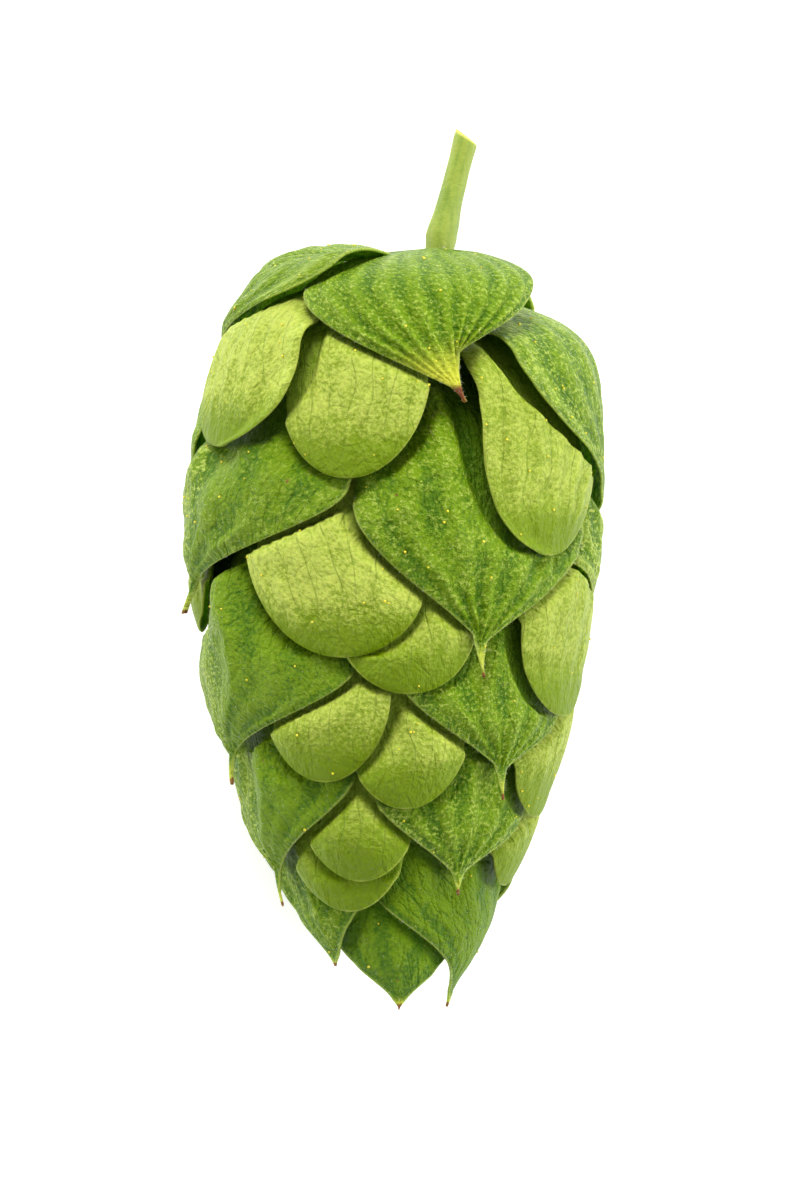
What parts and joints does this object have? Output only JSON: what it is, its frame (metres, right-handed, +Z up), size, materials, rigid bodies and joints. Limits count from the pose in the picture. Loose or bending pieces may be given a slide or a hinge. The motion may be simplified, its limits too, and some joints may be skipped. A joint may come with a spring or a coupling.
{
  "type": "hop cone",
  "caption": "Green hop cone of overlapping pointed bracts and rounded bracteoles on a short cut stem, lying on its side on a nearly flat belly of scales.",
  "frame": {"origin": "centre of the bounding box at its lowest point, on the surface the cone lies on", "axes": "+Y from the cone's tip towards the stem, +Z up from the surface it lies on, +X to the right when seen from above with the stem at the top"},
  "size_m": [0.0221, 0.0461, 0.0198],
  "materials": {
    "bract": "thin green leaf with lengthwise ridges, a pale bloom of fine hairs and a dry edge",
    "bracteole": "thin yellow-green papery leaf with fine net veins and yellow resin glands",
    "stem": "soft green stalk with faint lengthwise ridges and a cut end"
  },
  "bodies": {
    "root": {"bract_1_left": "bract", "bract_1_right": "bract", "bract_2_left": "bract", "bract_2_right": "bract", "bract_3_left": "bract", "bract_3_right": "bract", "bract_4_left": "bract", "bract_4_right": "bract", "bract_5_back": "bract", "bract_5_front": "bract", "bract_back_1_left": "bract", "bract_back_1_right": "bract", "bract_back_2_left": "bract", "bract_back_2_right": "bract", "bract_back_3_left": "bract", "bract_back_3_right": "bract", "bract_back_4_left": "bract", "bract_back_4_right": "bract", "bract_cap_back": "bract", "bract_cap_front": "bract", "bract_cap_left": "bract", "bract_cap_right": "bract", "bracteole_1_a": "bracteole", "bracteole_1_b": "bracteole", "bracteole_1_right": "bracteole", "bracteole_2_a": "bracteole", "bracteole_2_b": "bracteole", "bracteole_2_right": "bracteole", "bracteole_3_a": "bracteole", "bracteole_3_b": "bracteole", "bracteole_3_right": "bracteole", "bracteole_back_1_a": "bracteole", "bracteole_back_1_b": "bracteole", "bracteole_back_2_a": "bracteole", "bracteole_back_2_b": "bracteole", "bracteole_back_3_a": "bracteole", "bracteole_back_3_b": "bracteole", "bracteole_back_4": "bracteole", "bracteole_cap_back_a": "bracteole", "bracteole_cap_back_b": "bracteole", "bracteole_cap_front": "bracteole", "bracteole_cap_left": "bracteole", "bracteole_cap_right": "bracteole", "bracteole_left_1": "bracteole", "stem": "stem"}
  },
  "joints": []
}
